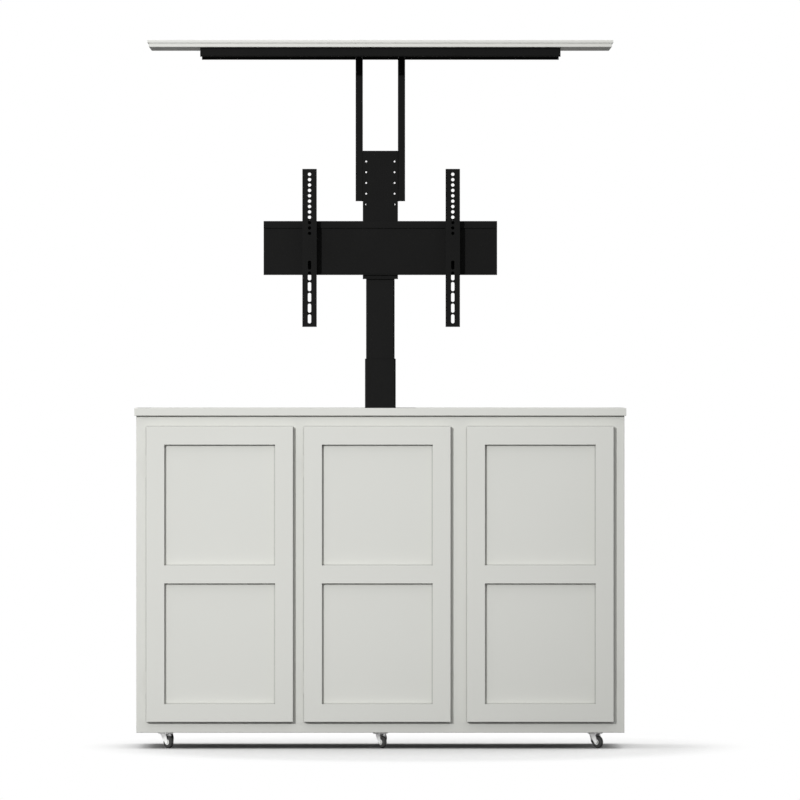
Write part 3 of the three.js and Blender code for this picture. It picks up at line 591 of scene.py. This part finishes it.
for side in SIDES:
    door_low, door_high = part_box(f"door_{side}_frame")
    on_door, on_frame = [], []
    for level in HINGE_LEVELS:
        low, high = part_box(f"hinge_{side}_{level}_door_leaf")
        inward = 1 if low.x + high.x < door_low.x + door_high.x else -1
        height = (low.z + high.z) / 2
        leaf_end = high.x if inward > 0 else low.x
        for row in LEAF_SCREW_ROWS:
            spot = Vector((leaf_end - inward * LEAF_SCREW_INSET, high.y, height + row))
            on_door.append((spot, Y_AXIS))
        low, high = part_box(f"hinge_{side}_{level}_frame_leaf")
        return_face = high.x if inward > 0 else low.x
        for row in RETURN_SCREW_ROWS:
            spot = Vector((return_face, high.y - RETURN_SCREW_INSET, height + row))
            on_frame.append((spot, X_AXIS * inward))
    heads(f"door_{side}_hinge_screws", f"door_{side}", "hinge_nickel", nickel, on_door, **LEAF_SCREW)
    heads(f"frame_{side}_hinge_screws", "cabinet", "hinge_nickel", nickel, on_frame, **RETURN_SCREW)
    free_edge = door_high.x if inward > 0 else door_low.x
    corners = [
        (Vector((free_edge - inward * BUMPER_INSET, door_high.y, z)), Y_AXIS)
        for z in (door_low.z + BUMPER_INSET, door_high.z - BUMPER_INSET)
    ]
    heads(
        f"door_{side}_bumpers", f"door_{side}", "wheel_rubber", rubber, corners, **BUMPER, socket=False
    )

# %% [markdown]
# The casters are riveted and screwed. The axle's ends are closed with rivet heads on both
# legs of the fork, a bright ring lies in the dish round each hub, and four screws hold the
# plate. The wheel's heading follows from where its hub lies beside the swivel.

# %% Caster screws, rivets and hub rings
PLATE_THICKNESS = 0.0025
PLATE_SCREW = Vector((0.0165, 0.0145, 0))
FORK_HALF = 0.0096
DISH_FLOOR = 0.0051
HUB_RING = {"outer": 0.0075, "wall": 0.0022, "height": 0.0010, "sides": 32}
RIVET = {"radius": 0.0036, "height": 0.0013}
PLATE_SCREW_HEAD = {"radius": 0.0026, "height": 0.0016}

plate_screws = []
for place in wheel_places:
    plate_low, plate_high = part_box(f"caster_{place}_plate")
    wheel_low, wheel_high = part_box(f"caster_{place}_wheel")
    swivel = (plate_low + plate_high) / 2
    hub = (wheel_low + wheel_high) / 2
    for x, y in ((-1, -1), (-1, 1), (1, -1), (1, 1)):
        spot = Vector((swivel.x + x * PLATE_SCREW.x, swivel.y + y * PLATE_SCREW.y, 0))
        spot.z = plate_high.z - PLATE_THICKNESS
        plate_screws.append((spot, -Z_AXIS))
    heading = math.atan2(hub.x - swivel.x, swivel.y - hub.y)
    axle = Vector((math.cos(heading), math.sin(heading), 0))
    ends = [(hub + end * axle * FORK_HALF, end * axle) for end in (-1, 1)]
    heads(f"caster_{place}_rivets", f"fork_{place}", "caster_zinc", zinc, ends, **RIVET, socket=False)
    shape = bmesh.new()
    for end in (-1, 1):
        made = bmesh.ops.create_circle(
            shape, cap_ends=True, segments=HUB_RING["sides"], radius=HUB_RING["outer"],
            matrix=standing_at(hub + end * axle * DISH_FLOOR, end * axle),
        )
        hollow_and_raise(
            shape, made["verts"][0].link_faces[0], HUB_RING["wall"], end * axle * HUB_RING["height"]
        )
    finish_piece(shape, f"caster_{place}_hub_rings", f"wheel_{place}", "caster_zinc", zinc)
heads("caster_plate_screws", "cabinet", "caster_zinc", zinc, plate_screws, **PLATE_SCREW_HEAD)

# %% [markdown]
# Each tube of the column carries a plastic collar on its top, in which the next stage
# glides. It is as wide as the gap between the two tubes, less a little play. Plugs close
# the square bars at both ends.

# %% Glide collars and plugs
COLLAR_HEIGHT = 0.0015
COLLAR_PLAY = 0.00015
COLLAR_CORNER = 0.004
COLLAR_CORNER_SEGMENTS = 4
PLUG_WALL = 0.00215
PLUG_DEPTH = 0.005
PLUG_SUNK = 0.0005
PLUG_EDGE = 0.0006

for tube, next_tube in zip(tubes, tubes[1:]):
    low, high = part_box(tube)
    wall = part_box(next_tube)[0].x - low.x - COLLAR_PLAY
    middle, size = (low + high) / 2, high - low
    middle.z = high.z
    shape = bmesh.new()
    bmesh.ops.create_grid(
        shape, x_segments=1, y_segments=1, size=0.5,
        matrix=Matrix.Translation(middle) @ Matrix.Diagonal((size.x, size.y, 1, 1)),
    )
    bmesh.ops.bevel(
        shape, geom=shape.verts[:], offset=COLLAR_CORNER, offset_type="OFFSET", affect="VERTICES",
        segments=COLLAR_CORNER_SEGMENTS, profile=0.5, material=-1, clamp_overlap=True,
    )
    shape.faces.ensure_lookup_table()
    hollow_and_raise(shape, shape.faces[0], wall, Z_AXIS * COLLAR_HEIGHT)
    finish_piece(shape, f"{tube}_collar", body_of_node[tube], "black_plastic", grained_plastic)
    print(tube, "collar, wall", round(wall * 1000, 2), "mm")

for bar in ("lid_bar_front", "lid_bar_back"):
    low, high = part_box(bar)
    inner = Vector((0, PLUG_WALL, PLUG_WALL))
    shape = bmesh.new()
    for end in (low.x + PLUG_SUNK, high.x - PLUG_SUNK - PLUG_DEPTH):
        plug_low = Vector((end, low.y, low.z)) + inner
        plug_high = Vector((end + PLUG_DEPTH, high.y, high.z)) - inner
        add_block(shape, plug_low, plug_high, PLUG_EDGE)
    finish_piece(shape, f"{bar}_plugs", "lift_head", "black_plastic", grained_plastic)
    print(bar, "plugged at both ends")

# %% [markdown]
# Two bolts hold each upright to the bracket. Their heads stand on the outside of the
# upright's sheet.

# %% Bolts of the uprights
UPRIGHT_SHEET = 0.003
UPRIGHT_BOLT_BACK = 0.024
UPRIGHT_BOLT_HEIGHTS = (0.025, 0.115)
UPRIGHT_BOLT = {"radius": 0.006, "height": 0.004}
bracket_low, bracket_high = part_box("head_bracket")
side_bolts = []
for side in (-1, 1):
    upright_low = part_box("lid_upright_left" if side < 0 else "lid_upright_right")[0]
    face = side * (bracket_high.x + UPRIGHT_SHEET)
    for height in UPRIGHT_BOLT_HEIGHTS:
        spot = Vector((face, bracket_low.y + UPRIGHT_BOLT_BACK, upright_low.z + height))
        side_bolts.append((spot, X_AXIS * side))
heads("upright_bolts", "lift_head", "black_steel", powder_coat, side_bolts, **UPRIGHT_BOLT)

# %% [markdown]
# Bolts also hold the base plate to the bottom board, and the stay to the back board and
# to the fixed tube. Their places are insets from the edges of the two solids.

# %% Bolts of the base plate and the stay
BASE_BOLT_INSET = 0.015
BASE_BOLT = {"radius": 0.007, "height": 0.005}
low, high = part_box("lift_base_plate")
base_bolts = [
    (Vector((x, y, high.z)), Z_AXIS)
    for x in (low.x + BASE_BOLT_INSET, high.x - BASE_BOLT_INSET)
    for y in (low.y + BASE_BOLT_INSET, high.y - BASE_BOLT_INSET)
]
heads("base_plate_bolts", "cabinet", "black_steel", powder_coat, base_bolts, **BASE_BOLT)

STAY_SHEET = 0.003
STAY_FOOT_BOLT_INSET = 0.011
STAY_FOOT_BOLT_HEIGHTS = (0.015, 0.045)
STAY_TUBE_BOLT_HEIGHT = 0.030
STAY_TUBE_BOLT_PLACES = (-0.020, 0.020)
STAY_BOLT = {"radius": 0.005, "height": 0.003}
low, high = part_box("lift_stay")
stay_bolts = [
    (Vector((x, high.y - STAY_SHEET, low.z + height)), -Y_AXIS)
    for x in (low.x + STAY_FOOT_BOLT_INSET, high.x - STAY_FOOT_BOLT_INSET)
    for height in STAY_FOOT_BOLT_HEIGHTS
]
stay_bolts += [
    (Vector((x, low.y + STAY_SHEET, low.z + STAY_TUBE_BOLT_HEIGHT)), Y_AXIS)
    for x in STAY_TUBE_BOLT_PLACES
]
heads("stay_bolts", "cabinet", "black_steel", powder_coat, stay_bolts, **STAY_BOLT)

# %% [markdown]
# The motor gets an end cap with screws and a row of cooling ribs. On a real housing they
# are moulded in one with it. Here they are blocks that stand on its faces, which shows the
# same and leaves the solid as it is.

# %% The motor's cap, ribs and screws
CAP_MARGIN = 0.006
CAP_HEIGHT = 0.004
CAP_EDGE = 0.001
CAP_SCREW_INSET = 0.012
CAP_SCREW = {"radius": 0.003, "height": 0.0016}
RIB = {"count": 5, "pitch": 0.009, "thickness": 0.0022, "proud": 0.0015, "margin": 0.018, "edge": 0.0004}

low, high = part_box("lift_motor")
margin = Vector((CAP_MARGIN, CAP_MARGIN, 0))
cap_low = Vector((low.x, low.y, high.z)) + margin
cap_high = Vector((high.x, high.y, high.z + CAP_HEIGHT)) - margin
shape = bmesh.new()
add_block(shape, cap_low, cap_high, CAP_EDGE)
for rib in range(RIB["count"]):
    y = (low.y + high.y) / 2 + (rib - (RIB["count"] - 1) / 2) * RIB["pitch"]
    add_block(
        shape,
        Vector((high.x, y - RIB["thickness"] / 2, low.z + RIB["margin"])),
        Vector((high.x + RIB["proud"], y + RIB["thickness"] / 2, high.z - RIB["margin"])),
        RIB["edge"],
    )
finish_piece(shape, "motor_cap_and_ribs", "cabinet", "black_plastic", grained_plastic)
cap_screws = [
    (Vector((x, y, cap_high.z)), Z_AXIS)
    for x in (low.x + CAP_SCREW_INSET, high.x - CAP_SCREW_INSET)
    for y in (low.y + CAP_SCREW_INSET, high.y - CAP_SCREW_INSET)
]
heads("motor_cap_screws", "cabinet", "hinge_nickel", nickel, cap_screws, **CAP_SCREW)
print("motor finished with", RIB["count"], "ribs")

# %% [markdown]
# The control box gets ears that hold it to the back board, and three sockets for the
# cables on its underside.

# %% The control box's ears and sockets
EAR = {"width": 0.016, "height": 0.030, "thickness": 0.002, "edge": 0.0005}
EAR_SCREW = {"radius": 0.004, "height": 0.0022}
SOCKET = {"count": 3, "pitch": 0.030, "width": 0.016, "depth": 0.012, "height": 0.003, "rim": 0.0016}
low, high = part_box("lift_control_box")
height = (low.z + high.z) / 2
shape = bmesh.new()
ear_screws = []
for x, side in ((low.x, -1), (high.x, 1)):
    ends = sorted((x, x + side * EAR["width"]))
    add_block(
        shape,
        Vector((ends[0], high.y - EAR["thickness"], height - EAR["height"] / 2)),
        Vector((ends[1], high.y, height + EAR["height"] / 2)),
        EAR["edge"],
    )
    ear_screws.append((Vector((sum(ends) / 2, high.y - EAR["thickness"], height)), -Y_AXIS))
finish_piece(shape, "control_box_ears", "cabinet", "black_plastic", grained_plastic)
heads("control_box_screws", "cabinet", "hinge_nickel", nickel, ear_screws, **EAR_SCREW)

shape = bmesh.new()
socket_size = Matrix.Diagonal((SOCKET["width"], SOCKET["depth"], 1, 1))
for number in range(SOCKET["count"]):
    x = (low.x + high.x) / 2 + (number - (SOCKET["count"] - 1) / 2) * SOCKET["pitch"]
    y = (low.y + high.y) / 2
    made = bmesh.ops.create_grid(
        shape, x_segments=1, y_segments=1, size=0.5,
        matrix=Matrix.Translation((x, y, low.z)) @ socket_size,
    )
    hollow_and_raise(
        shape, made["verts"][0].link_faces[0], SOCKET["rim"], -Z_AXIS * SOCKET["height"]
    )
finish_piece(shape, "control_box_sockets", "cabinet", "black_plastic", grained_plastic)
print("control box finished with", SOCKET["count"], "sockets")

# %% [markdown]
# ## Floor, sky and lamps
#
# The background is white because the floor and the sky are white to the camera, and not
# because more light falls on the cabinet. To all other rays they are ordinary: a dull
# floor and a grey sky that is darker near the horizon, which keeps undersides, recesses
# and the floor below the cabinet dark.
#
# To the camera the floor has two parts. Near the cabinet it is lit like any floor, so
# the shadow stays, with a trace of glow that keeps its core from going black. Farther out
# it glows plain white and joins the sky without an edge.

# %% Floor
FLOOR_SIZE = 60.0
FLOOR_TINT = 0.14
FLOOR_BRIGHT = 0.72
LIT_FLOOR_SHAPE = (1.0, 0.62, 1.0)
LIT_FLOOR_SHIFT = (-0.10, 0.0, 0.0)
LIT_FLOOR_RADIUS = 0.72
WHITE_FLOOR_RADIUS = 0.95
LEAST_GLOW = 0.018
WHITE = (1, 1, 1, 1)


def make_floor():
    finish = Finish("white_floor")
    tree = finish.tree
    seen = finish.node("ShaderNodeLightPath", output="Is Camera Ray")
    squeezed = finish.node(
        "ShaderNodeMapping",
        inputs={"Vector": finish.place, "Location": LIT_FLOOR_SHIFT, "Scale": LIT_FLOOR_SHAPE},
    )
    distance = finish.node(
        "ShaderNodeVectorMath", {"operation": "LENGTH"}, {0: squeezed}, output="Value"
    )
    glow = finish.node(
        "ShaderNodeMapRange",
        {"interpolation_type": "SMOOTHSTEP"},
        {
            "Value": distance, "From Min": LIT_FLOOR_RADIUS, "From Max": WHITE_FLOOR_RADIUS,
            "To Min": LEAST_GLOW,
        },
    )
    dull = finish.node("ShaderNodeBsdfDiffuse", inputs={"Color": (FLOOR_TINT,) * 3 + (1,)})
    lit = finish.node("ShaderNodeBsdfDiffuse", inputs={"Color": (FLOOR_BRIGHT,) * 3 + (1,)})
    white = finish.node("ShaderNodeEmission", inputs={"Color": WHITE, "Strength": 1.0})
    pale = finish.node("ShaderNodeMixShader", inputs={0: glow, 1: lit, 2: white})
    mixed = finish.node("ShaderNodeMixShader", inputs={0: seen, 1: dull, 2: pale})
    tree.links.new(mixed.socket, tree.nodes["Material Output"].inputs["Surface"])
    tree.nodes.remove(finish.shader)
    return finish.material


floor_shape = bmesh.new()
bmesh.ops.create_grid(floor_shape, x_segments=1, y_segments=1, size=FLOOR_SIZE / 2)
floor_mesh = bpy.data.meshes.new("floor")
floor_shape.to_mesh(floor_mesh)
floor_shape.free()
floor_mesh.materials.append(make_floor())
floor = bpy.data.objects.new("floor", floor_mesh)
bpy.context.scene.collection.objects.link(floor)
print("floor", FLOOR_SIZE, "m square")

# %% [markdown]
# The sky is a plain grey that brightens a little from the horizon to the zenith. It is
# worked out from the upward part of the direction, raised to a power, and the Light Path
# node swaps it for white where the camera looks at it.

# %% Sky
SKY_HIGH = 0.75
SKY_LOW = 0.60
SKY_RISE = 0.7

world = bpy.data.worlds.new("studio")
bpy.context.scene.world = world
world.use_nodes = True
sky = world.node_tree
direction = sky.nodes.new("ShaderNodeTexCoord")
height = sky.nodes.new("ShaderNodeSeparateXYZ")
sky.links.new(direction.outputs["Generated"], height.inputs[0])
upper = sky.nodes.new("ShaderNodeMath")
upper.operation = "MAXIMUM"
sky.links.new(height.outputs["Z"], upper.inputs[0])
upper.inputs[1].default_value = 0.0
curve = sky.nodes.new("ShaderNodeMath")
curve.operation = "POWER"
sky.links.new(upper.outputs[0], curve.inputs[0])
curve.inputs[1].default_value = SKY_RISE
grey = sky.nodes.new("ShaderNodeMapRange")
sky.links.new(curve.outputs[0], grey.inputs["Value"])
grey.inputs["To Min"].default_value = SKY_LOW
grey.inputs["To Max"].default_value = SKY_HIGH
ray = sky.nodes.new("ShaderNodeLightPath")
strength = sky.nodes.new("ShaderNodeMix")
sky.links.new(ray.outputs["Is Camera Ray"], strength.inputs["Factor"])
sky.links.new(grey.outputs["Result"], strength.inputs["A"])
strength.inputs["B"].default_value = 1.0
sky.links.new(strength.outputs["Result"], sky.nodes["Background"].inputs["Strength"])
sky.nodes["Background"].inputs["Color"].default_value = WHITE
print("sky from", SKY_LOW, "at the horizon to", SKY_HIGH, "overhead")

# %% [markdown]
# The photograph's shadows are crisp and run alike everywhere, down and to the right, but
# the tone falls off slowly towards the lower right corner. A spot lamp far away does
# both: its rays are nearly parallel, and the soft rim of its beam crosses the doors. A
# large lamp overhead lights the floor alone, so that the floor can be white and still
# take a soft shadow. The casters stand in the cabinet's shadow, yet their plating is
# bright in the photograph, so a small low lamp reaches the plated pieces only.

# %% Lamps
KEY_WATTS = 7850
KEY_DISTANCE = 16.0
KEY_SLOPE = Vector((0.36, 1.0, -0.22))
KEY_AIM = Vector((-0.85, slab_front, 1.50))
KEY_BEAM_RADIUS = 2.6
KEY_SOFTNESS = math.radians(1.5)
FLOOR_WATTS = 690
FLOOR_LAMP_PLACE = Vector((-0.1, 1.7, 4.0))
FLOOR_LAMP_SIZE = (20.0, 10.0)
CASTER_WATTS = 50
CASTER_LAMP_PLACE = (-1.4, -2.6, 0.16)
CASTER_LAMP_SLOPE = (1.2, 2.4, -0.14)
CASTER_LAMP_SIZE = 0.4


def lamp(name, kind, energy, place, towards):
    light = bpy.data.lights.new(name, kind)
    light.energy = energy
    made = bpy.data.objects.new(name, light)
    bpy.context.scene.collection.objects.link(made)
    made.location = place
    made.rotation_euler = Vector(towards).to_track_quat("-Z", "Y").to_euler()
    return made


key = lamp("key", "SPOT", KEY_WATTS, KEY_AIM - KEY_SLOPE * KEY_DISTANCE, KEY_SLOPE)
key.data.spot_size = 2 * math.atan(KEY_BEAM_RADIUS / KEY_DISTANCE)
key.data.spot_blend = 1.0
key.data.shadow_soft_size = KEY_DISTANCE * math.tan(KEY_SOFTNESS / 2)
floor_lamp = lamp("floor lamp", "AREA", FLOOR_WATTS, FLOOR_LAMP_PLACE, -FLOOR_LAMP_PLACE)
floor_lamp.data.shape = "RECTANGLE"
floor_lamp.data.size, floor_lamp.data.size_y = FLOOR_LAMP_SIZE
caster_lamp = lamp("caster lamp", "AREA", CASTER_WATTS, CASTER_LAMP_PLACE, CASTER_LAMP_SLOPE)
caster_lamp.data.size = CASTER_LAMP_SIZE

# %% [markdown]
# Light linking says what a lamp reaches. A real studio would use flags and screens for
# it, which would have to stand in the picture.

# %% What each lamp reaches
def link_lamp(lamp_object, link_state, receivers):
    """Lets a lamp light these objects only, or all but them."""
    group = bpy.data.collections.new(f"{lamp_object.name} {link_state.lower()}")
    for receiver in receivers:
        group.objects.link(receiver)
    for entry in group.collection_objects:
        entry.light_linking.link_state = link_state
    lamp_object.light_linking.receiver_collection = group


plated = [piece for piece in bpy.data.objects if piece.get("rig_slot") == "caster_zinc"]
link_lamp(key, "EXCLUDE", [floor])
link_lamp(floor_lamp, "INCLUDE", [floor])
link_lamp(caster_lamp, "INCLUDE", plated)
print("key", KEY_WATTS, "W, floor lamp", FLOOR_WATTS, "W,", len(plated), "plated pieces")

# %% [markdown]
# ## Colour
#
# The Standard view shows every tone as it was worked out, which suits a plain product
# picture.

bpy.context.scene.view_settings.view_transform = "Standard"
